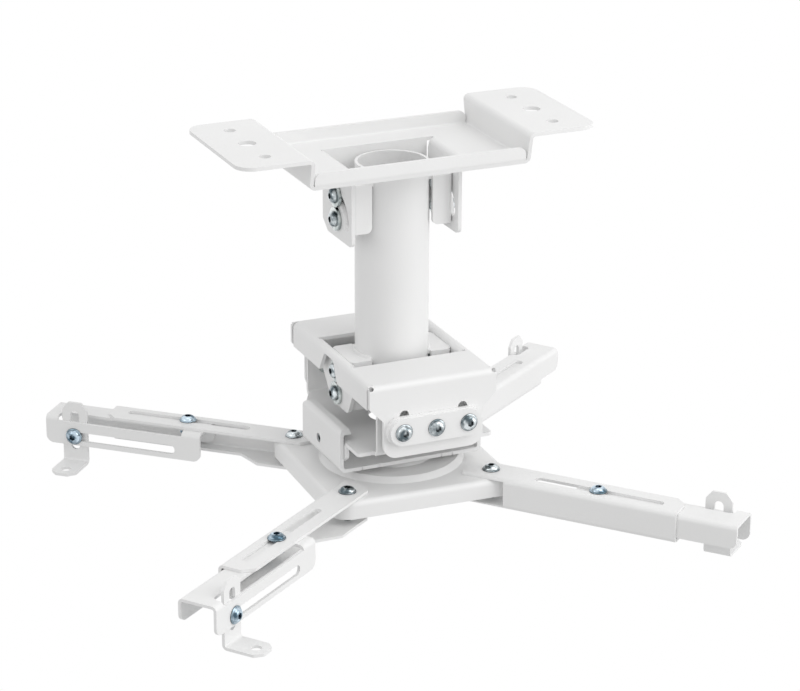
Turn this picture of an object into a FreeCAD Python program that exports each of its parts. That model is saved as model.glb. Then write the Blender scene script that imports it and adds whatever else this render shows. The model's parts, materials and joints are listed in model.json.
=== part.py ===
import FreeCAD, Part
import math
import os

# Ceiling mount for a projector, millimetres.
# Origin: centre of the ceiling face of the plate, on the tube axis. +Z is up, the front is -Y.
# Every folded sheet is drawn in its bent state as one solid.

V = FreeCAD.Vector

# sheet and fasteners
SHEET = 2.5                # thickness of the big folded sheets
ARM_SHEET = 2.0            # thickness of the arm channels, extensions and feet
BEND = 1.5                 # inner bend radius
BOLT_R = 3.0               # M6 shank
HEAD_R = 5.25              # button head of an M6 bolt
HEAD_H = 3.3
SOCKET_AF = 4.0            # hex socket across flats
SOCKET_DEPTH = 2.1
NUT_AF = 10.0
NUT_H = 5.0
BOLT_END = 1.0             # bolt end past its nut
PIVOT_FIT = 0.05           # radial clearance of a bolt that is a hinge pin
SLOT_FIT = 0.3             # clearance each side of a bolt in a slot
FACE_GAP = 0.1             # play between faces that slide on each other

# ceiling plate
PAD_X = 127.0              # outer end of the pads
PAD_Y = 51.8               # half width of the pads
RISER_FOOT_Y = 47.5        # half width of the risers where they meet the tray floor
PAD_CORNER_R = 12.0
RISER_X = 78.5             # outer face of the riser
TRAY_DROP = 21.65          # pad top face to tray lower face
TRAY_Y = 48.4              # outer face of the long flanges
FLANGE_TOP = 10.3          # flange top below the ceiling
FLANGE_X = 75.0            # half length of the long flanges
FLANGE_CORNER_R = 5.0
CEIL_HOLE_X = 102.5
CEIL_HOLE_Y = 31.6
CEIL_HOLE_R = 4.0
CEIL_CENTRE_HOLE_R = 6.0

# ears of the ceiling plate and of the tilt frame, and the openings they are bent from
EAR_X = 39.75              # outer face of the ears
EAR_Y = 24.8               # half width of the upper ears
EAR_BOTTOM = 72.8
EAR_CHAMFER_Y = 8.8        # lower back corner of the upper ears
EAR_CHAMFER_Z = 7.0
WINDOW_GAP = 1.0           # window edge to tube, front and back
WINDOW_CORNER_R = 1.0
EAR_RELIEF = 1.4           # ears are this much narrower each side at their bend
STOP_H = 21.5              # height of the stop plate under the back edge of the window
STOP_END_GAP = 0.25        # stop plate to the ears
STOP_ARCH_GAP = 0.6        # arch of the stop plate to the tube when it is level
TILT_Z = -59.3             # upper tilt axis
LOCK_R = 16.3              # lock bolt circle round the tilt axes

# tube and its brackets
TUBE_R = 25.0
TUBE_WALL = 2.0
TUBE_TOP = -24.0
TUBE_BOTTOM = -193.0
BRACKET_X = 37.0           # outer face of the bracket web
BRACKET_LIP_X = 22.0       # free edge of the lips
BRACKET_Y = 17.5           # outer face of the lips
BRACKET_UP = 26.7          # above the tilt axis
BRACKET_DOWN = 7.3         # below the tilt axis
BRACKET_LIP_R = 4.0
AXIS_SPACING = 124.0       # upper tilt axis to lower tilt axis
WASHER_R = 8.0
WASHER_H = 2.0

# tilt frame
FRAME_TOP = -154.2
FRAME_X = 46.0             # outer face of the side flanges
FRAME_Y = 69.5             # outer face of the front and back flanges
FRAME_OPENING_Y = 31.0
FRAME_CORNER_R = 3.0
SIDE_BOTTOM = -171.5
FRONT_SHOULDER_Z = -170.0
FRONT_NECK_Z = -180.0
FRONT_NECK_X = 36.0
FRONT_BOTTOM = -206.5
FRONT_CORNER_R = 9.5
FRAME_EAR_Y = 28.6
FRAME_EAR_FOOT_FRONT = 17.5
FRAME_EAR_FOOT_BACK = 11.0
FRAME_EAR_STRAIGHT = 12.0  # the ear narrows from this far above the axis
FRAME_EAR_DROP = 9.2       # below the axis
FRAME_CORNER_HOLE_R = 1.7
TILT_SWEEP = 11.0          # slot sweep of the lower tilt, each way
NOTCH_TOP = -157.0
NOTCH_TOP_FRONT = 7.0
NOTCH_TOP_BACK = 8.6
NOTCH_FOOT_FRONT = 13.5
NOTCH_FOOT_BACK = 17.5

# roll bracket and its clamp strips
ROLL_Z = -187.3            # roll axis, along Y
ROLL_BOLT_X = 23.5
ROLL_SLOT_UP = 26.0        # degrees above the level of the axis
ROLL_SLOT_DOWN = 16.0
STRIP_OUTER = (66.0, 18.9)
STRIP_INNER = (70.0, 20.0)
ROLL_EAR_Y = 62.2          # outer face of the bracket ears
ROLL_EAR_X = 37.4
ROLL_EAR_TOP = -176.0
ROLL_BASE_TOP = -205.0
ROLL_BASE_FRONT = 57.0     # front edge of the base beside the ear
ROLL_BASE_CORNER_R = 2.5
ROLL_BASE_X = 49.2         # outer face of the side flanges
ROLL_SIDE_Y = 36.0
ROLL_SIDE_H = 16.5         # depth of the side flanges below the base
ROLL_SIDE_END_H = 11.5     # the same at their ends
ROLL_SIDE_TAPER = 7.0
ROLL_RELIEF_R = 1.5
SPACER_R = 5.5

# swivel tray
SWIVEL_X = 52.0
SWIVEL_Y = 33.5
SWIVEL_BOTTOM = -228.0
SWIVEL_TOP = -198.2
SWIVEL_LIP_X = 44.0
SWIVEL_CORNER_R = 5.0
LOCK_SCREW_Y = 5.0
LOCK_SCREW_Z = -216.4
LOCK_SCREW_R = 2.5
LOCK_HOLE_GAP = 0.8
TICKS = (-36.0, -23.4, 22.6, 30.8)
TICK_W = 1.0
TICK_DEPTH = 0.6
SWIVEL_BOLT_R = 4.0
SWIVEL_HEAD_R = 7.0
SWIVEL_HEAD_H = 4.4
SWIVEL_WASHER_R = 12.0
SWIVEL_WASHER_H = 2.0
SWIVEL_NUT_AF = 13.0
SWIVEL_NUT_H = 6.5

# spider
ARM_TOP = -233.8           # top face of the arm channels
PIVOT_XY = 52.3            # arm pivots at (+-, +-)
SPIDER_CORNER_R = 13.7     # outer corners, round about the pivots
SKIRT_DROP = 12.6
SPIDER_YAW = -2.0          # pictured turn of the spider
DISC_TOP_R = 46.5
DISC_SLOPE = 4.5           # radial length of the slope round the disc
DISC_RISE = 3.8
BOSS_TOP_R = 27.0
BOSS_SLOPE = 4.0

# arm channel, in the arm's own frame: x outward from the pivot, y to the left hand side
CHANNEL_RIGHT = 13.0       # outer face of the web, on the right hand side
CHANNEL_LEFT = 11.0        # free edge of the top plate
CHANNEL_H = 22.0
CHANNEL_IN = 16.0          # inward of the pivot
CHANNEL_OUT = 139.0
CHANNEL_CHAMFER = 7.0
WEB_FROM = 14.8
SLOT_FROM = 37.0
SLOT_TO = 123.0
SLOT_Y = -1.8
LIP_Y = -2.0               # free edge of the bottom lip
PIVOT_TONGUE_TO = 24.0
PIVOT_TONGUE_Y = 10.5
LIP_FROM = 41.0
PIVOT_TIP = 3.6            # pivot bolt end below the lower tongue

# extension, measured inward from its outer end
EXT_LENGTH = 118.0
EXT_BOLT = 101.5
EXT_FOOT = 21.5
EXT_RIGHT = 10.8           # outer face of the short leg
EXT_LEFT = 17.3            # outer face of the deep leg
EXT_SHORT_H = 16.4         # depth of the short leg
EXT_LEG_H = 20.6           # depth of the deep leg
EXT_OPENING_H = 3.4        # the long opening reaches this far down the deep leg
EXT_OPENING_Y = 8.2
EXT_OPENING_IN = 104.0
EXT_OPENING_OUT = 9.0
EXT_SLOT_DROP = 13.8       # slot centre line below the top of the extension
EXT_SLOT_IN = 95.5
EXT_SLOT_OUT = 20.5
EXT_CORNER_R = 5.5

# foot
FOOT_W = 18.9
FOOT_RISE = 11.0           # above the top of the extension
FOOT_FLAT = 10.0
FOOT_SHOULDER = 5.5
FOOT_SLOT_FROM = 6.4       # slot end below the top of the foot
FOOT_SLOT_LENGTH = 29.2
FOOT_DROP = 12.2           # pad face below the deep leg
FOOT_PAD_END = 41.0
FOOT_HOLE_Y = 32.3
FOOT_HOLE_R = 3.5
FOOT_CORNER = 5.0

# pictured distance of each slide bolt from its arm's pivot
REACH_FRONT_RIGHT = 79.4
REACH_FRONT_LEFT = 86.9
REACH_BACK_LEFT = 80.7
REACH_BACK_RIGHT = 67.3

# the pictured setting of each arm: name, side signs, direction in degrees, reach
ARMS = (
    ("front_right", 1, -1, -50.0, REACH_FRONT_RIGHT),
    ("front_left", -1, -1, -143.2, REACH_FRONT_LEFT),
    ("back_left", -1, 1, 137.5, REACH_BACK_LEFT),
    ("back_right", 1, 1, 35.0, REACH_BACK_RIGHT),
)

# derived
LOWER_Z = TILT_Z - AXIS_SPACING
TRAY_LOW = -TRAY_DROP
CHANNEL_LOW = ARM_TOP - CHANNEL_H
EXT_TOP = ARM_TOP - ARM_SHEET - FACE_GAP
SPIDER_TOP = ARM_TOP - ARM_SHEET - FACE_GAP
STRIP_FACE = FRAME_Y + FACE_GAP
FOOT_FACE = EXT_LEFT - ARM_SHEET - FACE_GAP
OPENING_Y = TUBE_R + WINDOW_GAP
WINDOW_X = EAR_X + BEND
DISC_FOOT_R = DISC_TOP_R + DISC_SLOPE
BOSS_FOOT_R = BOSS_TOP_R + BOSS_SLOPE
SPIDER_HALF = PIVOT_XY + SPIDER_CORNER_R
EXT_SLOT_Z = EXT_TOP - EXT_SLOT_DROP
FOOT_TOP = EXT_TOP + FOOT_RISE
FOOT_PAD_TOP = EXT_TOP - EXT_LEG_H - FOOT_DROP


def to3(axis, a, b, level):
    if axis == "x":
        return V(level, a, b)
    if axis == "y":
        return V(a, level, b)
    return V(a, b, level)


def wire2(points, radii, axis, level):
    """Closed outline with a rounded corner wherever its radius is above zero."""
    count = len(points)
    edges = []
    ends = []
    for i in range(count):
        px, py = points[i]
        r = radii[i]
        if r <= 0:
            ends.append(((px, py), None, (px, py)))
            continue
        ax, ay = points[i - 1]
        bx, by = points[(i + 1) % count]
        la = math.hypot(ax - px, ay - py)
        lb = math.hypot(bx - px, by - py)
        ux, uy = (ax - px) / la, (ay - py) / la
        wx, wy = (bx - px) / lb, (by - py) / lb
        half = math.acos(max(-1.0, min(1.0, ux * wx + uy * wy))) / 2.0
        back = r / math.tan(half)
        mx, my = ux + wx, uy + wy
        ml = math.hypot(mx, my)
        reach = r / math.sin(half) - r
        start = (px + ux * back, py + uy * back)
        mid = (px + mx / ml * reach, py + my / ml * reach)
        stop = (px + wx * back, py + wy * back)
        ends.append((start, mid, stop))
    for i in range(count):
        start, mid, stop = ends[i]
        if mid:
            a = to3(axis, start[0], start[1], level)
            m = to3(axis, mid[0], mid[1], level)
            b = to3(axis, stop[0], stop[1], level)
            edges.append(Part.Arc(a, m, b).toShape())
        nxt = ends[(i + 1) % count][0]
        if math.hypot(nxt[0] - stop[0], nxt[1] - stop[1]) > 1e-6:
            edges.append(Part.makeLine(to3(axis, stop[0], stop[1], level), to3(axis, nxt[0], nxt[1], level)))
    return Part.Wire(edges)


def prism(points, axis, low, high, radii=None):
    """Outline extruded along an axis between two levels."""
    radii = radii or [0] * len(points)
    face = Part.Face(wire2(points, radii, axis, low))
    return face.extrude(to3(axis, 0, 0, high - low))


def box(x0, x1, y0, y1, z0, z1):
    return Part.makeBox(x1 - x0, y1 - y0, z1 - z0, V(x0, y0, z0))


def rod(axis, a, b, low, high, r):
    """Round bar along an axis; a and b are its two other coordinates."""
    direction = to3(axis, 0, 0, 1)
    return Part.makeCylinder(r, high - low, to3(axis, a, b, low), direction)


def bent(path, t, axis, low, high):
    """Folded strip: the path is its outer or inner face, the sheet lies on the path's left."""
    count = len(path)
    normals = []
    for i in range(count - 1):
        dx = path[i + 1][0] - path[i][0]
        dy = path[i + 1][1] - path[i][1]
        length = math.hypot(dx, dy)
        normals.append((-dy / length, dx / length))
    other = []
    near = [0]
    far = [0]
    for i in range(count):
        if i == 0 or i == count - 1:
            n = normals[0] if i == 0 else normals[-1]
            other.append((path[i][0] + n[0] * t, path[i][1] + n[1] * t))
            continue
        n0 = normals[i - 1]
        n1 = normals[i]
        k = t / (1 + n0[0] * n1[0] + n0[1] * n1[1])
        other.append((path[i][0] + (n0[0] + n1[0]) * k, path[i][1] + (n0[1] + n1[1]) * k))
        left_turn = n0[0] * n1[1] - n0[1] * n1[0] > 0
        near.append(BEND + t if left_turn else BEND)
        far.append(BEND if left_turn else BEND + t)
    near.append(0)
    far.append(0)
    return prism(path + other[::-1], axis, low, high, near + far[::-1])


def slot(axis, low, high, a0, b0, a1, b1, r):
    """Straight slot cutter between two centres."""
    length = math.hypot(a1 - a0, b1 - b0)
    nx, ny = -(b1 - b0) / length * r, (a1 - a0) / length * r
    pts = [(a0 + nx, b0 + ny), (a1 + nx, b1 + ny), (a1 - nx, b1 - ny), (a0 - nx, b0 - ny)]
    body = prism(pts, axis, low, high)
    return body.fuse([rod(axis, a0, b0, low, high, r), rod(axis, a1, b1, low, high, r)]).removeSplitter()


def arc_slot(axis, low, high, a, b, circle, start, stop, r):
    """Curved slot cutter round a centre; angles in degrees in the outline's plane."""
    def at(radius, degrees):
        w = math.radians(degrees)
        return to3(axis, a + radius * math.cos(w), b + radius * math.sin(w), low)
    middle = (start + stop) / 2.0
    outer = Part.Arc(at(circle + r, start), at(circle + r, middle), at(circle + r, stop)).toShape()
    inner = Part.Arc(at(circle - r, stop), at(circle - r, middle), at(circle - r, start)).toShape()
    past = cap(at(circle, stop), at(circle, stop + 5), r)
    before = cap(at(circle, start), at(circle, start - 5), r)
    end = Part.Arc(at(circle + r, stop), past, at(circle - r, stop)).toShape()
    first = Part.Arc(at(circle - r, start), before, at(circle + r, start)).toShape()
    return Part.Face(Part.Wire([outer, end, inner, first])).extrude(to3(axis, 0, 0, high - low))


def cap(centre, toward, r):
    step = toward - centre
    step.normalize()
    return centre + step * r


def one(shape):
    """The single solid of a shape, with split faces joined."""
    shape = shape.removeSplitter()
    return shape.Solids[0] if len(shape.Solids) == 1 else shape


def hexagon(across):
    """Corners of a hexagon, two of its flats square to the first axis."""
    corner = across / 2.0 / math.cos(math.radians(30))
    turns = [math.radians(60 * i + 30) for i in range(6)]
    return [(corner * math.cos(w), corner * math.sin(w)) for w in turns]


def button_bolt(length, shank=BOLT_R, head_r=HEAD_R, head_h=HEAD_H, socket=SOCKET_AF, depth=SOCKET_DEPTH):
    """Button head bolt: seat at z 0, head above, shank below."""
    flat = head_r * 0.42
    edge = head_h * 0.16
    knee = (head_r + flat) / 2.0 + head_r * 0.13
    lift = head_h * 0.72
    lines = [
        Part.makeLine(V(0, 0, -length), V(shank - 0.5, 0, -length)),
        Part.makeLine(V(shank - 0.5, 0, -length), V(shank, 0, -length + 0.5)),
        Part.makeLine(V(shank, 0, -length + 0.5), V(shank, 0, 0)),
        Part.makeLine(V(shank, 0, 0), V(head_r, 0, 0)),
        Part.makeLine(V(head_r, 0, 0), V(head_r, 0, edge)),
        Part.Arc(V(head_r, 0, edge), V(knee, 0, lift), V(flat, 0, head_h)).toShape(),
        Part.makeLine(V(flat, 0, head_h), V(0, 0, head_h)),
        Part.makeLine(V(0, 0, head_h), V(0, 0, -length)),
    ]
    body = Part.Face(Part.Wire(lines)).revolve(V(0, 0, 0), V(0, 0, 1), 360)
    key = prism(hexagon(socket), "z", head_h - depth, head_h + 1)
    return one(body.cut(key))


def nut(bore=BOLT_R, across=NUT_AF, height=NUT_H):
    """Hex nut: bearing face at z 0, body below it."""
    body = prism(hexagon(across), "z", -height, 0)
    corner = across / 2.0 / math.cos(math.radians(30))
    trim = Part.makeCone(across / 2.0 + 0.1, corner + 0.1, 0.7, V(0, 0, -height))
    keep = trim.fuse(Part.makeCylinder(corner + 0.1, height - 0.7, V(0, 0, -height + 0.7)))
    body = body.common(keep)
    return one(body.cut(Part.makeCylinder(bore + PIVOT_FIT, height + 2, V(0, 0, -height - 1))))


def ring(r, bore, height):
    """Flat ring standing on z 0."""
    return Part.makeCylinder(r, height).cut(Part.makeCylinder(bore, height + 2, V(0, 0, -1)))


def aim(shape, direction, at):
    """Turn the shape's +Z to a direction and move its origin to a point."""
    shape = shape.copy()
    shape.Placement = FreeCAD.Placement(at, FreeCAD.Rotation(V(0, 0, 1), direction))
    return shape


def group(shapes):
    return Part.makeCompound(shapes)


def ceiling_plate():
    floor = TRAY_LOW
    step = [(0, floor), (RISER_X, floor), (RISER_X, -SHEET), (PAD_X, -SHEET)]
    mirrored = [(-a, b) for a, b in reversed(step)]
    pads = [bent(path, SHEET, "y", -PAD_Y, PAD_Y) for path in (step, mirrored)]
    width = [(-RISER_FOOT_Y, floor), (RISER_FOOT_Y, floor), (PAD_Y, -SHEET), (PAD_Y, 0), (-PAD_Y, 0),
             (-PAD_Y, -SHEET)]
    plan = [(-PAD_X, -PAD_Y), (PAD_X, -PAD_Y), (PAD_X, PAD_Y), (-PAD_X, PAD_Y)]
    pads = pads[0].fuse(pads[1])
    pads = pads.common(prism(width, "x", -PAD_X, PAD_X))
    pads = pads.common(prism(plan, "z", floor, 0, [PAD_CORNER_R] * 4))
    tray = bent([(-TRAY_Y, -FLANGE_TOP), (-TRAY_Y, floor), (TRAY_Y, floor), (TRAY_Y, -FLANGE_TOP)],
                SHEET, "x", -FLANGE_X, FLANGE_X)
    sides = [(-FLANGE_X, floor), (FLANGE_X, floor), (FLANGE_X, -FLANGE_TOP), (-FLANGE_X, -FLANGE_TOP)]
    tray = tray.common(prism(sides, "y", -TRAY_Y, TRAY_Y, [0, 0, FLANGE_CORNER_R, FLANGE_CORNER_R]))
    body = tray.fuse(pads)
    body = body.cut(window(OPENING_Y, floor, floor + SHEET))
    body = body.fuse([ear(s, floor + SHEET, upper_ear_outline()) for s in (-1, 1)])
    cuts = [rod("x", 0, TILT_Z, -EAR_X, EAR_X, BOLT_R + PIVOT_FIT)]
    for s in (-1, 1):
        cuts.append(rod("z", s * CEIL_HOLE_X, 0, -SHEET, 0, CEIL_CENTRE_HOLE_R))
        for k in (-1, 1):
            cuts.append(rod("z", s * CEIL_HOLE_X, k * CEIL_HOLE_Y, -SHEET, 0, CEIL_HOLE_R))
        a, b = sorted((s * EAR_X, s * (EAR_X - SHEET)))
        cuts.append(arc_slot("x", a, b, 0, TILT_Z, LOCK_R, 90, 180, BOLT_R + SLOT_FIT))
    return one(body.cut(cuts))


def window(half_y, low, high):
    """Cutter of the window between the two ears, up to their bends."""
    x = WINDOW_X
    pts = [(-x, -half_y), (x, -half_y), (x, half_y), (-x, half_y)]
    return prism(pts, "z", low, high, [WINDOW_CORNER_R] * 4)


def stop_plate():
    """Plate under the back edge of the window, arched round the tube in its level position."""
    x = EAR_X - SHEET - STOP_END_GAP
    y = OPENING_Y
    plate = box(-x, x, y, y + SHEET, TRAY_LOW - STOP_H, TRAY_LOW)
    return one(plate.cut(rod("y", 0, TILT_Z, y, y + SHEET, TUBE_R + STOP_ARCH_GAP)))


def ear(side, top, outline):
    """Ear bent down from a floor whose upper face is at top; outline is its y-z shape and corner radii."""
    points, radii = outline
    face = EAR_X
    inner = EAR_X - SHEET
    root = WINDOW_X + 0.5
    low = min(z for y, z in points)
    width = max(abs(y) for y, z in points)
    path = [(inner, low), (face, low), (face, top - SHEET), (root, top - SHEET), (root, top), (inner, top)]
    sheet = prism([(side * a, b) for a, b in path], "y", -width, width, [0, 0, BEND, 0, 0, BEND + SHEET])
    a, b = sorted((side * inner, side * root))
    return sheet.common(prism(points, "x", a, b, radii))


def upper_ear_outline():
    top = TRAY_LOW + SHEET
    bend = TRAY_LOW - BEND
    low = -EAR_BOTTOM
    neck = EAR_Y - EAR_RELIEF
    shoulder = bend - 2 * EAR_RELIEF
    pts = [(-neck, top), (-neck, bend), (-EAR_Y, shoulder), (-EAR_Y, low), (EAR_Y - EAR_CHAMFER_Y, low),
           (EAR_Y, low + EAR_CHAMFER_Z), (EAR_Y, shoulder), (neck, bend), (neck, top)]
    return pts, [0, 1, 1, 4.0, 3.0, 3.0, 1, 1, 0]


def bracket(side, axis_z):
    """Sideways channel with a top plate between the tube and an ear, welded to the tube."""
    x = BRACKET_X
    y = BRACKET_Y
    low = axis_z - BRACKET_DOWN
    top = axis_z + BRACKET_UP
    sheet = bent([(BRACKET_LIP_X, -y), (x, -y), (x, y), (BRACKET_LIP_X, y)], SHEET, "z", low, top)
    lips = [(BRACKET_LIP_X, low), (x, low), (x, top), (BRACKET_LIP_X, top)]
    sheet = sheet.common(prism(lips, "y", -y, y, [BRACKET_LIP_R, 0, 0, 0]))
    root = TUBE_R / math.sqrt(2)
    cover = box(root, x - SHEET, -y + SHEET, y - SHEET, top - SHEET, top)
    cuts = [Part.makeCylinder(TUBE_R, top - low, V(0, 0, low))]
    for up in (0, LOCK_R):
        cuts.append(rod("x", 0, axis_z + up, x - SHEET, x, BOLT_R + PIVOT_FIT))
    body = one(sheet.fuse(cover).cut(cuts))
    if side < 0:
        body.rotate(V(0, 0, 0), V(0, 0, 1), 180)
    return body


def side_bolts(axis_z, up, face, length):
    """Left and right bolts on a tilt axis, or up from it; heads outside."""
    out = []
    for s in (-1, 1):
        out.append(aim(button_bolt(length), V(s, 0, 0), V(s * face, 0, axis_z + up)))
    return out


def tube():
    length = TUBE_TOP - TUBE_BOTTOM
    outer = Part.makeCylinder(TUBE_R, length, V(0, 0, TUBE_BOTTOM))
    return outer.cut(Part.makeCylinder(TUBE_R - TUBE_WALL, length, V(0, 0, TUBE_BOTTOM)))


def axis_hardware(axis_z):
    """Bolts, washers and nuts of one tilt axis."""
    seat = EAR_X + FACE_GAP
    inside = BRACKET_X - SHEET
    length = seat + WASHER_H - inside + NUT_H + BOLT_END
    pivot = side_bolts(axis_z, 0, seat + WASHER_H, length)
    lock = side_bolts(axis_z, LOCK_R, seat + WASHER_H, length)
    washers = []
    nuts = []
    for s in (-1, 1):
        for up in (0, LOCK_R):
            washer = ring(WASHER_R, BOLT_R + PIVOT_FIT, WASHER_H)
            washers.append(aim(washer, V(s, 0, 0), V(s * seat, 0, axis_z + up)))
            nuts.append(aim(nut(), V(s, 0, 0), V(s * inside, 0, axis_z + up)))
    return pivot, lock, washers, nuts


def tilt_frame():
    top = FRAME_TOP
    low = top - SHEET
    edge = BEND + SHEET
    side = [(FRAME_X, SIDE_BOTTOM), (FRAME_X, top), (-FRAME_X, top), (-FRAME_X, SIDE_BOTTOM)]
    across = bent(side, SHEET, "y", -FRAME_Y + edge + 1, FRAME_Y - edge - 1)
    front = [(FRAME_Y, FRONT_BOTTOM), (FRAME_Y, top), (-FRAME_Y, top), (-FRAME_Y, FRONT_BOTTOM)]
    along = bent(front, SHEET, "x", -FRAME_X, FRAME_X)
    face = [(-FRAME_X, top), (-FRAME_X, FRONT_SHOULDER_Z), (-FRONT_NECK_X, FRONT_NECK_Z),
            (-FRONT_NECK_X, FRONT_BOTTOM), (FRONT_NECK_X, FRONT_BOTTOM), (FRONT_NECK_X, FRONT_NECK_Z),
            (FRAME_X, FRONT_SHOULDER_Z), (FRAME_X, top)]
    radii = [0, 3, 3, FRONT_CORNER_R, FRONT_CORNER_R, 3, 3, 0]
    along = along.common(prism(face, "y", -FRAME_Y, FRAME_Y, radii))
    seams = []
    for s in (-1, 1):
        a, b = sorted((s * (FRAME_X - edge), s * FRAME_X))
        seams.append(box(a, b, -FRAME_Y + edge, FRAME_Y - edge, FRONT_BOTTOM, top))
    body = across.fuse(along.cut(seams))
    body = body.cut(window(FRAME_OPENING_Y, low, top))
    body = body.fuse([ear(s, top, lower_ear_outline()) for s in (-1, 1)])
    notch = [(-NOTCH_FOOT_FRONT, SIDE_BOTTOM), (-NOTCH_TOP_FRONT, NOTCH_TOP), (NOTCH_TOP_BACK, NOTCH_TOP),
             (NOTCH_FOOT_BACK, SIDE_BOTTOM)]
    bolt = BOLT_R + SLOT_FIT
    cuts = []
    for s in (-1, 1):
        a, b = sorted((s * (FRAME_X - SHEET), s * FRAME_X))
        cuts.append(prism(notch, "x", a, b, [0, 4, 4, 0]))
        a, b = sorted((s * (EAR_X - SHEET), s * EAR_X))
        cuts.append(arc_slot("x", a, b, 0, LOWER_Z, LOCK_R, 90 - TILT_SWEEP, 90 + TILT_SWEEP, bolt))
        cuts.append(rod("x", 0, LOWER_Z, a, b, BOLT_R + PIVOT_FIT))
        a, b = sorted((s * FRAME_Y, s * (FRAME_Y - SHEET)))
        cuts.append(rod("y", 0, ROLL_Z, a, b, BOLT_R + PIVOT_FIT))
        for first, last in ((-ROLL_SLOT_DOWN, ROLL_SLOT_UP), (180 - ROLL_SLOT_UP, 180 + ROLL_SLOT_DOWN)):
            cuts.append(arc_slot("y", a, b, 0, ROLL_Z, ROLL_BOLT_X, first, last, bolt))
        for k in (-1, 1):
            corner = V(s * (FRAME_X - edge), k * (FRAME_Y - edge), top - edge)
            outward = V(s, k, 1)
            cuts.append(Part.makeCylinder(FRAME_CORNER_HOLE_R, 3 * edge, corner, outward))
    return one(body.cut(cuts))


def lower_ear_outline():
    y = FRAME_EAR_Y
    low = LOWER_Z - FRAME_EAR_DROP
    straight = LOWER_Z + FRAME_EAR_STRAIGHT
    pts = [(-y, FRAME_TOP), (-y, straight), (-FRAME_EAR_FOOT_FRONT, low), (FRAME_EAR_FOOT_BACK, low),
           (y, straight), (y, FRAME_TOP)]
    return pts, [0, 5, 5, 5, 5, 0]


def roll_bracket():
    top = ROLL_BASE_TOP
    low = top - SHEET
    x = ROLL_BASE_X
    fold = ROLL_EAR_Y - SHEET - BEND
    front = ROLL_BASE_FRONT
    end = ROLL_SIDE_Y
    path = [(-ROLL_EAR_Y, ROLL_EAR_TOP), (-ROLL_EAR_Y, low), (ROLL_EAR_Y, low), (ROLL_EAR_Y, ROLL_EAR_TOP)]
    ears = bent(path, SHEET, "x", -x, x)
    face = [(-ROLL_EAR_X, low), (ROLL_EAR_X, low), (ROLL_EAR_X, ROLL_EAR_TOP), (-ROLL_EAR_X, ROLL_EAR_TOP)]
    keep = prism(face, "y", -ROLL_EAR_Y, ROLL_EAR_Y, [0, 0, 5, 5])
    plan = [(-x, -front), (x, -front), (x, end), (ROLL_EAR_X, fold), (-ROLL_EAR_X, fold), (-x, end)]
    corner = ROLL_BASE_CORNER_R
    base = prism(plan, "z", low, top, [corner, corner, corner, 0, 0, corner])
    body = ears.common(keep.fuse(base))
    edge = BEND + SHEET
    for s in (-1, 1):
        a, b = sorted((s * (x - edge), s * x))
        body = body.cut(box(a, b, -end, end, low, top))
    foot = top - ROLL_SIDE_H
    flanges = bent([(x, foot), (x, top), (-x, top), (-x, foot)], SHEET, "y", -end, end)
    inset = end - ROLL_SIDE_TAPER
    side = [(-end, top), (-end, top - ROLL_SIDE_END_H), (-inset, foot), (inset, foot),
            (end, top - ROLL_SIDE_END_H), (end, top)]
    body = body.fuse(flanges.common(prism(side, "x", -x, x, [0, 2, 2, 2, 2, 0])))
    cuts = [rod("z", 0, 0, low, top, SWIVEL_WASHER_R + 4)]
    for s in (-1, 1):
        a, b = sorted((s * ROLL_EAR_Y, s * (ROLL_EAR_Y - SHEET)))
        for bolt in (-ROLL_BOLT_X, 0, ROLL_BOLT_X):
            cuts.append(rod("y", bolt, ROLL_Z, a, b, BOLT_R + PIVOT_FIT))
        for k in (-1, 1):
            cuts.append(rod("z", k * (ROLL_EAR_X + ROLL_RELIEF_R), s * fold, low, top + edge, ROLL_RELIEF_R))
        a, b = sorted((s * x, s * (x - SHEET)))
        cuts.append(rod("x", LOCK_SCREW_Y, LOCK_SCREW_Z, a, b, LOCK_SCREW_R + PIVOT_FIT))
    return one(body.cut(cuts))


def pill(side, size, low):
    """Clamp strip with round ends, lying on the front or back flange."""
    length, height = size
    r = height / 2.0
    a, b = sorted((side * low, side * (low + SHEET)))
    body = slot("y", a, b, -length / 2.0 + r, ROLL_Z, length / 2.0 - r, ROLL_Z, r)
    holes = [rod("y", x, ROLL_Z, a - 1, b + 1, BOLT_R + PIVOT_FIT) for x in (-ROLL_BOLT_X, 0, ROLL_BOLT_X)]
    return one(body.cut(holes))


def roll_hardware():
    """Bolts, spacer bushes and nuts of the roll axis, front and back."""
    bolts = []
    spacers = []
    nuts = []
    seat = STRIP_FACE + 2 * SHEET
    inner = ROLL_EAR_Y - SHEET
    gap = FRAME_Y - SHEET - FACE_GAP - ROLL_EAR_Y
    for s in (-1, 1):
        for x in (-ROLL_BOLT_X, 0, ROLL_BOLT_X):
            bolt = button_bolt(seat - inner + NUT_H + BOLT_END)
            spacer = ring(SPACER_R, BOLT_R + PIVOT_FIT, gap)
            bolts.append(aim(bolt, V(0, s, 0), V(x, s * seat, ROLL_Z)))
            spacers.append(aim(spacer, V(0, s, 0), V(x, s * ROLL_EAR_Y, ROLL_Z)))
            nuts.append(aim(nut(), V(0, s, 0), V(x, s * inner, ROLL_Z)))
    return bolts, spacers, nuts


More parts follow.
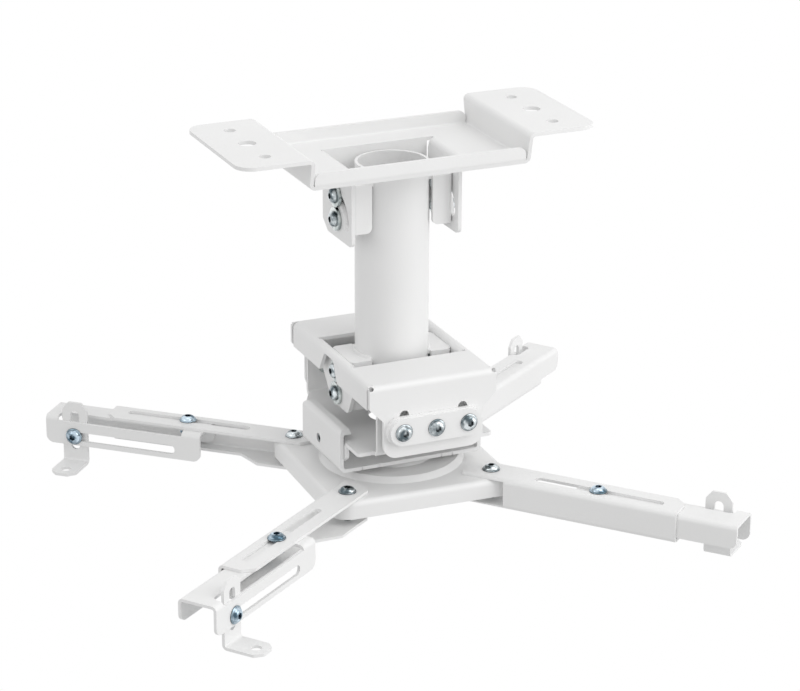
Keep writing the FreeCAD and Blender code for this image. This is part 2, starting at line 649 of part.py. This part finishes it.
def swivel_tray():
    x = SWIVEL_X
    y = SWIVEL_Y
    low = SWIVEL_BOTTOM
    top = SWIVEL_TOP
    inner = x - SHEET
    path = [(SWIVEL_LIP_X, top - SHEET), (inner, top - SHEET), (inner, low + SHEET), (-inner, low + SHEET),
            (-inner, top - SHEET), (-SWIVEL_LIP_X, top - SHEET)]
    body = bent(path, SHEET, "y", -y, y)
    wall = [(-y, low), (y, low), (y, top), (-y, top)]
    body = body.common(prism(wall, "x", -x, x, [0, 0, SWIVEL_CORNER_R, SWIVEL_CORNER_R]))
    cuts = [rod("z", 0, 0, low, low + SHEET, SWIVEL_BOLT_R + PIVOT_FIT)]
    for s in (-1, 1):
        a, b = sorted((s * x, s * inner))
        cuts.append(rod("x", LOCK_SCREW_Y, LOCK_SCREW_Z, a, b, LOCK_SCREW_R + LOCK_HOLE_GAP))
    for tick in TICKS:
        cuts.append(box(tick - TICK_W / 2, tick + TICK_W / 2, -y, -y + TICK_DEPTH, low, low + SHEET))
    return one(body.cut(cuts))


def lock_screws():
    """Socket set screws in the roll bracket's side flanges, their ends in the tray's wall holes."""
    out = []
    for s in (-1, 1):
        start = ROLL_BASE_X - SHEET - 3.0
        stop = SWIVEL_X - 0.6
        screw = Part.makeCylinder(LOCK_SCREW_R, stop - start)
        key = prism(hexagon(2.5), "z", stop - start - 2.0, stop - start + 1)
        out.append(aim(one(screw.cut(key)), V(s, 0, 0), V(s * start, LOCK_SCREW_Y, LOCK_SCREW_Z)))
    return out


def turned_sheet(profile, t):
    """Revolved sheet between a line of (radius, height) points and the same line one thickness lower."""
    upper = profile
    lower = [(r, z - t) for r, z in reversed(profile)]
    pts = [V(r, 0, z) for r, z in upper + lower]
    pts.append(pts[0])
    return Part.Face(Part.makePolygon(pts)).revolve(V(0, 0, 0), V(0, 0, 1), 360)


def spider():
    """Pressed pan: flat plate with a skirt all round, its corners round about the arm pivots."""
    top = SPIDER_TOP
    low = top - SHEET
    rim = top - SKIRT_DROP
    pan = rounded_block(SPIDER_HALF, SPIDER_CORNER_R, rim, top, BEND + SHEET)
    inside = rounded_block(SPIDER_HALF - SHEET, SPIDER_CORNER_R - SHEET, rim, low, BEND)
    body = pan.cut(inside)
    body = body.cut(Part.makeCylinder(DISC_FOOT_R, SHEET, V(0, 0, low)))
    boss = SWIVEL_BOTTOM - 2 * FACE_GAP
    rise = top + DISC_RISE
    disc = turned_sheet([(SWIVEL_BOLT_R + PIVOT_FIT, boss), (BOSS_TOP_R, boss), (BOSS_FOOT_R, rise),
                         (DISC_TOP_R, rise), (DISC_FOOT_R - 1.0, top), (DISC_FOOT_R, top)], SHEET)
    body = body.fuse(disc)
    hole = BOLT_R + PIVOT_FIT
    cuts = [rod("z", a * PIVOT_XY, b * PIVOT_XY, low, top, hole) for a in (-1, 1) for b in (-1, 1)]
    body = one(body.cut(cuts))
    body.rotate(V(0, 0, 0), V(0, 0, 1), SPIDER_YAW)
    return body


def rounded_block(half, corner, low, high, edge_r):
    """Square block with round corners and a rounded upper edge."""
    block = prism([(-half, -half), (half, -half), (half, half), (-half, half)], "z", low, high, [corner] * 4)
    upper = [e for e in block.Edges if min(v.Z for v in e.Vertexes) > high - 1e-6]
    return block.makeFillet(edge_r, upper)


def swivel_hardware():
    """Bolt from below the spider, washer and nut on the tray floor."""
    seat = SWIVEL_BOTTOM - 2 * FACE_GAP - SHEET
    floor = SWIVEL_BOTTOM + SHEET + FACE_GAP
    bore = SWIVEL_BOLT_R + PIVOT_FIT
    washer = aim(ring(SWIVEL_WASHER_R, bore, SWIVEL_WASHER_H), V(0, 0, 1), V(0, 0, floor))
    lock = aim(nut(SWIVEL_BOLT_R, SWIVEL_NUT_AF, SWIVEL_NUT_H), V(0, 0, -1), V(0, 0, floor + SWIVEL_WASHER_H))
    length = floor + SWIVEL_WASHER_H + SWIVEL_NUT_H + BOLT_END - seat
    bolt = button_bolt(length, SWIVEL_BOLT_R, SWIVEL_HEAD_R, SWIVEL_HEAD_H, 5.0, 2.6)
    return aim(bolt, V(0, 0, -1), V(0, 0, seat)), washer, lock


def pivot_at(a, b, z):
    """Arm pivot on the turned spider."""
    turn = FreeCAD.Rotation(V(0, 0, 1), SPIDER_YAW)
    return turn.multVec(V(a * PIVOT_XY, b * PIVOT_XY, z))


def pivot_hardware():
    """Bolts through channel, spider and lower tongue, nuts under the spider plate."""
    bolts = []
    nuts = []
    seat = ARM_TOP + FACE_GAP
    for name, a, b, angle, reach in ARMS:
        bolts.append(aim(button_bolt(CHANNEL_H + PIVOT_TIP), V(0, 0, 1), pivot_at(a, b, seat)))
        nuts.append(aim(nut(), V(0, 0, 1), pivot_at(a, b, SPIDER_TOP - SHEET)))
    return bolts, nuts


def arm_channel():
    """Arm channel in its own frame, pivot at the origin of x and y."""
    t = ARM_SHEET
    right = -CHANNEL_RIGHT
    left = CHANNEL_LEFT
    inner = -CHANNEL_IN
    out = CHANNEL_OUT
    top = ARM_TOP
    low = CHANNEL_LOW
    sheet = bent([(left, top), (right, top), (right, low), (left, low)], t, "x", inner, out)
    c = CHANNEL_CHAMFER
    upper = [(inner, right), (out, right), (out, left - c), (out - c, left), (inner + c, left),
             (inner, left - c)]
    tongue = PIVOT_TONGUE_Y
    lower = [(inner, right), (out, right), (out, LIP_Y), (LIP_FROM, LIP_Y), (PIVOT_TONGUE_TO, tongue),
             (inner + c, tongue), (inner, tongue - c)]
    middle = (top + low) / 2.0
    keep = prism(upper, "z", middle, top, [0, 0, 2, 2, 2, 2])
    keep = keep.fuse(prism(lower, "z", low, middle, [0, 0, 2, 2, 2, 2, 2]))
    body = sheet.common(keep)
    cuts = [box(inner, WEB_FROM, right, right + BEND + t, low + t, top - t)]
    cuts.append(rod("z", 0, 0, low, top, BOLT_R + PIVOT_FIT))
    cuts.append(slot("z", top - t, top, SLOT_FROM, SLOT_Y, SLOT_TO, SLOT_Y, BOLT_R + SLOT_FIT))
    return one(body.cut(cuts))


def extension(end):
    """Extension in the arm's frame, its outer end at x = end."""
    t = ARM_SHEET
    top = EXT_TOP
    inner = end - EXT_LENGTH
    leg_z = top - EXT_LEG_H
    short_z = top - EXT_SHORT_H
    path = [(EXT_LEFT, leg_z), (EXT_LEFT, top), (-EXT_RIGHT, top), (-EXT_RIGHT, short_z)]
    body = bent(path, t, "x", inner, end)
    r = EXT_CORNER_R
    leg = [(inner, leg_z), (end, leg_z), (end, top), (inner, top)]
    short = [(inner, short_z), (end, short_z), (end, top), (inner, top)]
    keep = prism(leg, "y", 0, EXT_LEFT, [r, r, 0, 0])
    keep = keep.fuse(prism(short, "y", -EXT_RIGHT, 0, [r, r, 0, 0]))
    body = body.common(keep)
    near = end - EXT_OPENING_IN
    far = end - EXT_OPENING_OUT
    opening = [(near, EXT_OPENING_Y), (far, EXT_OPENING_Y), (far, EXT_LEFT), (near, EXT_LEFT)]
    cuts = [prism(opening, "z", top - EXT_OPENING_H, top, [4, 4, 0, 0])]
    cuts.append(rod("z", end - EXT_BOLT, SLOT_Y, top - t, top, BOLT_R + PIVOT_FIT))
    first, last = end - EXT_SLOT_IN, end - EXT_SLOT_OUT
    cuts.append(slot("y", EXT_LEFT - t, EXT_LEFT, first, EXT_SLOT_Z, last, EXT_SLOT_Z, BOLT_R + SLOT_FIT))
    return one(body.cut(cuts))


def slide_bolt(end):
    """Bolt and nut that clamp the extension in the channel's slot."""
    x = end - EXT_BOLT
    under = EXT_TOP - ARM_SHEET
    seat = ARM_TOP + FACE_GAP
    bolt = aim(button_bolt(seat - under + NUT_H + BOLT_END), V(0, 0, 1), V(x, SLOT_Y, seat))
    return bolt, aim(nut(), V(0, 0, 1), V(x, SLOT_Y, under))


def foot_bolt(end):
    """Bolt and nut that clamp a foot in the slot of the deep leg."""
    x = end - EXT_FOOT
    seat = EXT_LEFT + FACE_GAP
    inside = FOOT_FACE - ARM_SHEET - FACE_GAP
    bolt = aim(button_bolt(seat - inside + NUT_H + 0.5), V(0, 1, 0), V(x, seat, EXT_SLOT_Z))
    return bolt, aim(nut(), V(0, 1, 0), V(x, inside, EXT_SLOT_Z))


def foot(end):
    """Slotted strip with a pad bent outward, in the arm's frame."""
    t = ARM_SHEET
    x = end - EXT_FOOT
    w = FOOT_W / 2.0
    face = FOOT_FACE
    inner = face - t
    low = FOOT_PAD_TOP - t
    top = FOOT_TOP
    body = bent([(inner, top), (inner, low), (FOOT_PAD_END, low)], t, "x", x - w, x + w)
    f = FOOT_FLAT / 2.0
    shoulder = top - FOOT_SHOULDER
    strip = [(x - w, low), (x + w, low), (x + w, shoulder), (x + f, top), (x - f, top), (x - w, shoulder)]
    c = FOOT_CORNER
    end_y = FOOT_PAD_END
    pad = [(x - w, inner), (x + w, inner), (x + w, end_y - c), (x + w - c, end_y), (x - w + c, end_y),
           (x - w, end_y - c)]
    body = body.common(prism(strip, "y", inner, end_y, [0, 0, 2, 2, 2, 2]))
    body = body.common(prism(pad, "z", low, top, [0, 0, 2, 2, 2, 2]))
    r = BOLT_R + SLOT_FIT
    upper = top - FOOT_SLOT_FROM
    cuts = [slot("y", inner, face, x, upper - FOOT_SLOT_LENGTH + r, x, upper - r, r)]
    cuts.append(rod("z", x, FOOT_HOLE_Y, low, FOOT_PAD_TOP, FOOT_HOLE_R))
    return one(body.cut(cuts))


def place_arm(shape, a, b, angle):
    shape = shape.copy()
    turn = FreeCAD.Placement(pivot_at(a, b, 0), FreeCAD.Rotation(V(0, 0, 1), angle))
    shape.Placement = turn.multiply(shape.Placement)
    return shape


def save(name, shape):
    shape.exportStep("parts/" + name + ".step")
    if len(shape.Solids) == 0 or not shape.isValid():
        print("check this one:", name)


def build():
    os.makedirs("parts", exist_ok=True)
    save("ceiling_plate", ceiling_plate())
    save("stop_plate", stop_plate())
    save("tube", tube())
    for level, axis_z in (("upper", TILT_Z), ("lower", LOWER_Z)):
        save("bracket_" + level + "_left", bracket(-1, axis_z))
        save("bracket_" + level + "_right", bracket(1, axis_z))
        pivot, lock, washers, nuts = axis_hardware(axis_z)
        save(level + "_pivot_bolts", group(pivot))
        save(level + "_lock_bolts", group(lock))
        save(level + "_washers", group(washers))
        save(level + "_nuts", group(nuts))
    save("tilt_frame", tilt_frame())
    save("roll_bracket", roll_bracket())
    for name, side in (("front", -1), ("back", 1)):
        save(name + "_strip_inner", pill(side, STRIP_INNER, STRIP_FACE))
        save(name + "_strip_outer", pill(side, STRIP_OUTER, STRIP_FACE + SHEET))
    bolts, spacers, nuts = roll_hardware()
    save("roll_bolts", group(bolts))
    save("roll_spacers", group(spacers))
    save("roll_nuts", group(nuts))
    save("swivel_tray", swivel_tray())
    save("lock_screws", group(lock_screws()))
    save("spider", spider())
    bolt, washer, lock = swivel_hardware()
    save("swivel_bolt", bolt)
    save("swivel_washer", washer)
    save("swivel_nut", lock)
    bolts, nuts = pivot_hardware()
    save("arm_pivot_bolts", group(bolts))
    save("arm_pivot_nuts", group(nuts))
    channel = arm_channel()
    for name, a, b, angle, reach in ARMS:
        end = reach + EXT_BOLT
        save("arm_channel_" + name, place_arm(channel, a, b, angle))
        save("extension_" + name, place_arm(extension(end), a, b, angle))
        save("slide_bolt_" + name, place_arm(group(slide_bolt(end)), a, b, angle))
        save("foot_bolt_" + name, place_arm(group(foot_bolt(end)), a, b, angle))
        save("foot_" + name, place_arm(foot(end), a, b, angle))


build()
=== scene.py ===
import json
import math

import bmesh
import bpy
from mathutils import Matrix, Vector

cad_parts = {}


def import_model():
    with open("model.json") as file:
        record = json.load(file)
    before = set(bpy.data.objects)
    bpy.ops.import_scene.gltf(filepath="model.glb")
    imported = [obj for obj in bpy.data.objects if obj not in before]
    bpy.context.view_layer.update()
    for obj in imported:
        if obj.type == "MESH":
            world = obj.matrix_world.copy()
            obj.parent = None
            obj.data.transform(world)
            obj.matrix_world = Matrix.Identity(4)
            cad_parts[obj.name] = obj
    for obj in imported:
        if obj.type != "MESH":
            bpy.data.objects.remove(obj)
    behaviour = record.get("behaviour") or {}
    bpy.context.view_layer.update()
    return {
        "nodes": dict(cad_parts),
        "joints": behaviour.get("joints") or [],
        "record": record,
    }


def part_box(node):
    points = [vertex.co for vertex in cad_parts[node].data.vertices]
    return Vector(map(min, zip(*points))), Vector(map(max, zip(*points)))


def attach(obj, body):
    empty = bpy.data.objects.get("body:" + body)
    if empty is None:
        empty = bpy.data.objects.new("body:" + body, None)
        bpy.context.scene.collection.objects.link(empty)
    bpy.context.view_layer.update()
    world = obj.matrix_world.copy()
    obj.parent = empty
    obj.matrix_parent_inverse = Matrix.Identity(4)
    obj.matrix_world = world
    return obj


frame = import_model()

WIDTH = 800                # pixels of the picture the camera was fitted to
CAMERA_AT = (-0.741114, -1.683341, 0.544230)
AZIMUTH, ELEVATION, ROLL = -23.941, 20.823, 0.250
FOCAL_PIXELS = 2896.13
SENSOR = 36.0
FLOOR_Z = -3.0
FLOOR_SIZE = 60
WORLD_STRENGTH = 0.70      # what lights the mount; the camera sees white
LAMP_AIM = (0, 0, -0.15)
LAMP_DISTANCE = 2.2
LAMPS = (                  # name, azimuth, elevation, size, power
    ("front_right_low", 50, 8, 1.2, 11),
    ("front_right_high", 30, 45, 1.4, 12),
    ("left", -80, 20, 1.2, 3.5),
    ("top", 0, 88, 1.4, 4),
)
ARMS = ("front_right", "front_left", "back_left", "back_right")
ARM_BOLTS = ("slide_bolt", "foot_bolt")    # these have a bluer cast than the others
HEAD_H = 0.0033            # button head of an M6 bolt
SHORTEST_BOLT = 0.009      # shorter parts of a bolt's node are nuts
FLANGE_LIFT = 0.00005      # clear of the sheet, so that a part sliding under the head stays free of it
FLANGE = (                 # radius and height of its profile
    (0.0045, 0.0), (0.0061, 0.0), (0.0061, 0.0004),
    (0.0059, 0.0007), (0.0053, 0.0010), (0.0045, 0.0011),
)
PAN_EDGE = (0.0011, 4, 22)       # width, segments and smallest angle of a rounded edge
SHEET_EDGE = (0.00035, 2, 40)
METAL_EDGE = (0.00012, 2, 40)
SAME_POINT = 0.00001       # vertices closer than this are one
# Painted shade: sockets and the foot of a head are darkened in the colour within this reach.
PAINTED_SHADE_REACH = 0.0025         # sockets and the foot of a head darken within this reach
WELD_R = 0.0017
WELD_SWEEP = 36.0          # degrees each side of the bracket's middle
WELD_STEPS = 40
WELD_SIDES = 12
WELD_TAPER = 4.0           # steps over which a bead's end thins out
WELD_END = 0.35            # thickness left at the very end, as a share
WELD_RIPPLE = 0.10
WELD_RIPPLE_STEP = 1.9     # radians of ripple a step
FLANGE_SIDES = 48


def camera():
    """Camera at the photograph's viewing angle."""
    a, e, r = (math.radians(v) for v in (AZIMUTH, ELEVATION, ROLL))
    right = Vector((math.cos(a), math.sin(a), 0))
    ahead = Vector((-math.sin(a) * math.cos(e), math.cos(a) * math.cos(e), -math.sin(e)))
    up = right.cross(ahead)
    side = right * math.cos(r) + up * math.sin(r)
    top = up * math.cos(r) - right * math.sin(r)
    data = bpy.data.cameras.new("camera")
    data.sensor_width = SENSOR
    data.lens = FOCAL_PIXELS / WIDTH * SENSOR
    data.clip_end = 50
    obj = bpy.data.objects.new("camera", data)
    bpy.context.scene.collection.objects.link(obj)
    turn = Matrix((side, top, -ahead)).transposed().to_4x4()
    obj.matrix_world = Matrix.Translation(Vector(CAMERA_AT)) @ turn
    bpy.context.scene.camera = obj


def seen_rays(tree):
    """Factor of 1 where the camera, a reflection or a see-through surface looks, 0 elsewhere."""
    nodes, links = tree.nodes, tree.links
    path = nodes.new("ShaderNodeLightPath")
    first = nodes.new("ShaderNodeMath")
    first.operation = "MAXIMUM"
    links.new(path.outputs["Is Camera Ray"], first.inputs[0])
    links.new(path.outputs["Is Glossy Ray"], first.inputs[1])
    second = nodes.new("ShaderNodeMath")
    second.operation = "MAXIMUM"
    links.new(first.outputs[0], second.inputs[0])
    links.new(path.outputs["Is Transmission Ray"], second.inputs[1])
    return second.outputs[0]


def world():
    """Even soft light, white where it is looked at."""
    scene = bpy.context.scene
    made = bpy.data.worlds.new("studio")
    made.use_nodes = True
    scene.world = made
    tree = made.node_tree
    tree.nodes.clear()
    out = tree.nodes.new("ShaderNodeOutputWorld")
    soft = tree.nodes.new("ShaderNodeBackground")
    soft.inputs["Color"].default_value = (1, 1, 1, 1)
    soft.inputs["Strength"].default_value = WORLD_STRENGTH
    white = tree.nodes.new("ShaderNodeBackground")
    white.inputs["Color"].default_value = (1, 1, 1, 1)
    white.inputs["Strength"].default_value = 1.0
    mix = tree.nodes.new("ShaderNodeMixShader")
    tree.links.new(seen_rays(tree), mix.inputs[0])
    tree.links.new(soft.outputs[0], mix.inputs[1])
    tree.links.new(white.outputs[0], mix.inputs[2])
    tree.links.new(mix.outputs[0], out.inputs[0])


def floor():
    """Pale floor far below the hung mount, white to the camera."""
    bpy.ops.mesh.primitive_plane_add(size=FLOOR_SIZE, location=(0, 0, FLOOR_Z))
    plane = bpy.context.object
    plane.name = "floor"
    made = bpy.data.materials.new("floor")
    made.use_nodes = True
    tree = made.node_tree
    tree.nodes.clear()
    out = tree.nodes.new("ShaderNodeOutputMaterial")
    matt = tree.nodes.new("ShaderNodeBsdfDiffuse")
    matt.inputs["Color"].default_value = (0.85, 0.85, 0.85, 1)
    glow = tree.nodes.new("ShaderNodeEmission")
    glow.inputs["Strength"].default_value = 1.0
    mix = tree.nodes.new("ShaderNodeMixShader")
    tree.links.new(seen_rays(tree), mix.inputs[0])
    tree.links.new(matt.outputs[0], mix.inputs[1])
    tree.links.new(glow.outputs[0], mix.inputs[2])
    tree.links.new(mix.outputs[0], out.inputs[0])
    plane.data.materials.append(made)


def area(name, azimuth, elevation, size, power):
    """Soft square lamp aimed at the mount; azimuth 0 is the front, 90 the right."""
    a, e = math.radians(azimuth), math.radians(elevation)
    data = bpy.data.lights.new(name, "AREA")
    data.shape = "SQUARE"
    data.size = size
    data.energy = power
    obj = bpy.data.objects.new(name, data)
    bpy.context.scene.collection.objects.link(obj)
    away = Vector((math.sin(a) * math.cos(e), -math.cos(a) * math.cos(e), math.sin(e)))
    obj.location = Vector(LAMP_AIM) + away * LAMP_DISTANCE
    obj.rotation_euler = away.to_track_quat("Z", "Y").to_euler()


def lights():
    for lamp in LAMPS:
        area(*lamp)


def value(tree, kind, **inputs):
    node = tree.nodes.new(kind)
    for key, val in inputs.items():
        node.inputs[key.replace("_", " ")].default_value = val
    return node


def powder_coat():
    """Semi-gloss white powder coat: fine orange peel and faint tone drift."""
    made = bpy.data.materials.new("white_powder_coat")
    made.use_nodes = True
    tree = made.node_tree
    shader = tree.nodes["Principled BSDF"]
    where = tree.nodes.new("ShaderNodeTexCoord")
    tone = value(tree, "ShaderNodeTexNoise", Scale=9.0, Detail=3.0)
    tree.links.new(where.outputs["Object"], tone.inputs["Vector"])
    ramp = tree.nodes.new("ShaderNodeValToRGB")
    ramp.color_ramp.elements[0].position = 0.35
    ramp.color_ramp.elements[0].color = (0.835, 0.835, 0.832, 1)
    ramp.color_ramp.elements[1].position = 0.68
    ramp.color_ramp.elements[1].color = (0.865, 0.865, 0.863, 1)
    tree.links.new(tone.outputs["Fac"], ramp.inputs["Fac"])
    tree.links.new(ramp.outputs["Color"], shader.inputs["Base Color"])
    peel = value(tree, "ShaderNodeTexNoise", Scale=900.0, Detail=2.0)
    tree.links.new(where.outputs["Object"], peel.inputs["Vector"])
    rough = tree.nodes.new("ShaderNodeMapRange")
    rough.inputs["To Min"].default_value = 0.34
    rough.inputs["To Max"].default_value = 0.46
    tree.links.new(peel.outputs["Fac"], rough.inputs["Value"])
    tree.links.new(rough.outputs["Result"], shader.inputs["Roughness"])
    bump = value(tree, "ShaderNodeBump", Strength=0.18, Distance=0.0002)
    tree.links.new(peel.outputs["Fac"], bump.inputs["Height"])
    tree.links.new(bump.outputs["Normal"], shader.inputs["Normal"])
    shader.inputs["IOR"].default_value = 1.5
    return made


def zinc_plate(name, dark, bright, scale):
    """Blue-passivated zinc: metal whose colour drifts between two tones, partly the plating's uneven cast
    and partly painted dark reflections, with fine marks of handling and painted shade in its hollows.
    """
    made = bpy.data.materials.new(name)
    made.use_nodes = True
    tree = made.node_tree
    shader = tree.nodes["Principled BSDF"]
    shader.inputs["Metallic"].default_value = 1.0
    where = tree.nodes.new("ShaderNodeTexCoord")
    # The drift between the dark and the bright tone is partly the plating's uneven cast and partly painted
    # reflection of dark surroundings.
    cast_and_reflection = value(tree, "ShaderNodeTexNoise", Scale=scale, Detail=2.0)
    tree.links.new(where.outputs["Object"], cast_and_reflection.inputs["Vector"])
    ramp = tree.nodes.new("ShaderNodeValToRGB")
    ramp.color_ramp.elements[0].position = 0.38
    ramp.color_ramp.elements[0].color = dark + (1,)
    ramp.color_ramp.elements[1].position = 0.62
    ramp.color_ramp.elements[1].color = bright + (1,)
    tree.links.new(cast_and_reflection.outputs["Fac"], ramp.inputs["Fac"])
    # Painted shade: ambient occlusion darkens the base colour in hex sockets and where a head meets the
    # sheet.
    occlusion = tree.nodes.new("ShaderNodeAmbientOcclusion")
    occlusion.samples = 8
    occlusion.inputs["Distance"].default_value = PAINTED_SHADE_REACH
    shade = tree.nodes.new("ShaderNodeMapRange")
    shade.inputs["From Min"].default_value = 0.25
    shade.inputs["From Max"].default_value = 0.85
    shade.inputs["To Min"].default_value = 0.04
    tree.links.new(occlusion.outputs["AO"], shade.inputs["Value"])
    painted_shade_mix = tree.nodes.new("ShaderNodeMix")
    painted_shade_mix.data_type = "RGBA"
    painted_shade_mix.blend_type = "MULTIPLY"
    painted_shade_mix.inputs["Factor"].default_value = 1.0
    tree.links.new(ramp.outputs["Color"], painted_shade_mix.inputs[6])
    tree.links.new(shade.outputs["Result"], painted_shade_mix.inputs[7])
    tree.links.new(painted_shade_mix.outputs[2], shader.inputs["Base Color"])
    rough = tree.nodes.new("ShaderNodeMapRange")
    rough.inputs["To Min"].default_value = 0.14
    rough.inputs["To Max"].default_value = 0.30
    tree.links.new(cast_and_reflection.outputs["Fac"], rough.inputs["Value"])
    tree.links.new(rough.outputs["Result"], shader.inputs["Roughness"])
    marks = value(tree, "ShaderNodeTexNoise", Scale=1600.0, Detail=3.0)
    tree.links.new(where.outputs["Object"], marks.inputs["Vector"])
    bump = value(tree, "ShaderNodeBump", Strength=0.1, Distance=0.0001)
    tree.links.new(marks.outputs["Fac"], bump.inputs["Height"])
    tree.links.new(bump.outputs["Normal"], shader.inputs["Normal"])
    return made


def edge_rounding(obj, width, segments, degrees):
    edge = obj.modifiers.new("edge", "BEVEL")
    edge.width = width
    edge.segments = segments
    edge.limit_method = "ANGLE"
    edge.angle_limit = math.radians(degrees)
    edge.harden_normals = True


def dress(white, heads, arm_heads, plain):
    """Material and edge rounding for every node of the frame."""
    slots = {s["node"]: s["material_slot"] for s in frame["record"]["subparts"]}
    for name, obj in frame["nodes"].items():
        if slots[name] == "white_paint":
            made = white
        elif name.startswith(ARM_BOLTS):
            made = arm_heads
        else:
            made = heads if "bolt" in name or "screw" in name else plain
        obj.data.materials.clear()
        obj.data.materials.append(made)
        for polygon in obj.data.polygons:
            polygon.material_index = 0
        if name == "spider":
            edge_rounding(obj, *PAN_EDGE)
        elif made is white:
            edge_rounding(obj, *SHEET_EDGE)
        else:
            edge_rounding(obj, *METAL_EDGE)


def piece(name, bm, made, body):
    """Object from a bmesh, smooth shaded, riding on a body."""
    mesh = bpy.data.meshes.new(name)
    bm.to_mesh(mesh)
    bm.free()
    for polygon in mesh.polygons:
        polygon.use_smooth = True
    mesh.materials.append(made)
    obj = bpy.data.objects.new(name, mesh)
    bpy.context.scene.collection.objects.link(obj)
    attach(obj, body)
    return obj


def lathe(bm, profile, count, place):
    """Closed profile of (radius, height) turned about +Z, then moved by a matrix."""
    rings = []
    for i in range(count):
        w = 2 * math.pi * i / count
        rings.append([
            bm.verts.new(place @ Vector((r * math.cos(w), r * math.sin(w), h)))
            for r, h in profile
        ])
    for i in range(count):
        first, second = rings[i], rings[(i + 1) % count]
        for k in range(len(profile)):
            n = (k + 1) % len(profile)
            bm.faces.new((first[k], second[k], second[n], first[n]))


def islands(obj):
    """Vertex positions of each loose part of a mesh."""
    bm = bmesh.new()
    bm.from_mesh(obj.data)
    bmesh.ops.remove_doubles(bm, verts=bm.verts, dist=SAME_POINT)
    left = set(bm.verts)
    out = []
    while left:
        stack = [left.pop()]
        found = []
        while stack:
            vert = stack.pop()
            found.append(vert.co.copy())
            for e in vert.link_edges:
                other = e.other_vert(vert)
                if other in left:
                    left.remove(other)
                    stack.append(other)
        out.append(found)
    bm.free()
    return out


def seats(node, outward):
    """Seat point and outward direction of each bolt of a node; outward gives it from the part's centre."""
    out = []
    for points in islands(frame["nodes"][node]):
        middle = sum(points, Vector()) / len(points)
        w = outward(middle)
        along = [p.dot(w) for p in points]
        if max(along) - min(along) < SHORTEST_BOLT:
            continue
        head = [p for p in points if p.dot(w) > max(along) - HEAD_H]
        side = w.orthogonal().normalized()
        other = w.cross(side)
        a = [p.dot(side) for p in head]
        b = [p.dot(other) for p in head]
        centre = side * (min(a) + max(a)) / 2 + other * (min(b) + max(b)) / 2
        out.append((centre + w * (max(along) - HEAD_H), w))
    return out


def flanges(heads, arm_heads):
    """Thin flange under the button heads that sit on painted sheet without a washer."""
    up = Vector((0, 0, 1))
    jobs = [("roll_bolts", "roll_head", lambda m: Vector((0, math.copysign(1, m.y), 0))),
            ("arm_pivot_bolts", "spider_head", lambda m: up)]
    slides = {j["name"]: Vector(j["axis"]) for j in frame["joints"] if j["type"] == "slide"}
    for arm in ARMS:
        left = up.cross(slides["arm_length_" + arm]).normalized()
        jobs.append(("slide_bolt_" + arm, "slider_" + arm, lambda m: up))
        jobs.append(("foot_bolt_" + arm, "foot_clamp_" + arm, lambda m, left=left: left))
    for node, body, outward in jobs:
        bm = bmesh.new()
        for seat, w in seats(node, outward):
            turn = w.to_track_quat("Z", "Y").to_matrix().to_4x4()
            lathe(bm, FLANGE, FLANGE_SIDES, Matrix.Translation(seat + w * FLANGE_LIFT) @ turn)
        made = arm_heads if node.startswith(ARM_BOLTS) else heads
        piece("flange_" + node, bm, made, body)


def bead(bm, path, radius, sides):
    """Rippled weld bead along a path, tapered at both ends."""
    rings = []
    count = len(path)
    for i, at in enumerate(path):
        ahead = (path[min(i + 1, count - 1)] - path[max(i - 1, 0)]).normalized()
        side = ahead.cross(Vector((0, 0, 1))).normalized()
        up = side.cross(ahead)
        end = min(i, count - 1 - i) / WELD_TAPER
        taper = min(1.0, WELD_END + (1.0 - WELD_END) * end)
        r = radius * taper * (1.0 + WELD_RIPPLE * math.sin(i * WELD_RIPPLE_STEP))
        ring = []
        for k in range(sides):
            w = 2 * math.pi * k / sides
            ring.append(bm.verts.new(at + side * (r * math.cos(w)) + up * (r * math.sin(w))))
        rings.append(ring)
    for first, second in zip(rings, rings[1:]):
        for k in range(sides):
            n = (k + 1) % sides
            bm.faces.new((first[k], second[k], second[n], first[n]))
    bm.faces.new(rings[0][::-1])
    bm.faces.new(rings[-1])


def welds(made):
    """Bead between the tube and the top plate of each bracket."""
    tube_low, tube_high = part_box("tube")
    radius = (tube_high[0] - tube_low[0]) / 2
    for level in ("upper", "lower"):
        for side, middle in (("left", math.pi), ("right", 0.0)):
            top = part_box("bracket_%s_%s" % (level, side))[1][2]
            bm = bmesh.new()
            path = []
            for i in range(WELD_STEPS + 1):
                w = middle + math.radians(WELD_SWEEP) * (2.0 * i / WELD_STEPS - 1)
                path.append(Vector((radius * math.cos(w), radius * math.sin(w), top)))
            bead(bm, path, WELD_R, WELD_SIDES)
            piece("weld_%s_%s" % (level, side), bm, made, "drop")


camera()
world()
floor()
lights()
WHITE = powder_coat()
# The dark tone of each zinc is partly painted reflection of dark surroundings.
HEADS = zinc_plate("zinc_heads", (0.10, 0.13, 0.145), (0.74, 0.79, 0.81), 170.0)
ARM_HEADS = zinc_plate("zinc_arm_heads", (0.07, 0.12, 0.16), (0.62, 0.74, 0.84), 170.0)
PLAIN = zinc_plate("zinc_washers", (0.45, 0.50, 0.50), (0.80, 0.84, 0.83), 180.0)
dress(WHITE, HEADS, ARM_HEADS, PLAIN)
flanges(zinc_plate("zinc_flanges", (0.12, 0.15, 0.165), (0.46, 0.50, 0.52), 170.0),
        zinc_plate("zinc_arm_flanges", (0.10, 0.15, 0.18), (0.38, 0.47, 0.54), 170.0))
welds(WHITE)

scene = bpy.context.scene
scene.view_settings.view_transform = "Standard"
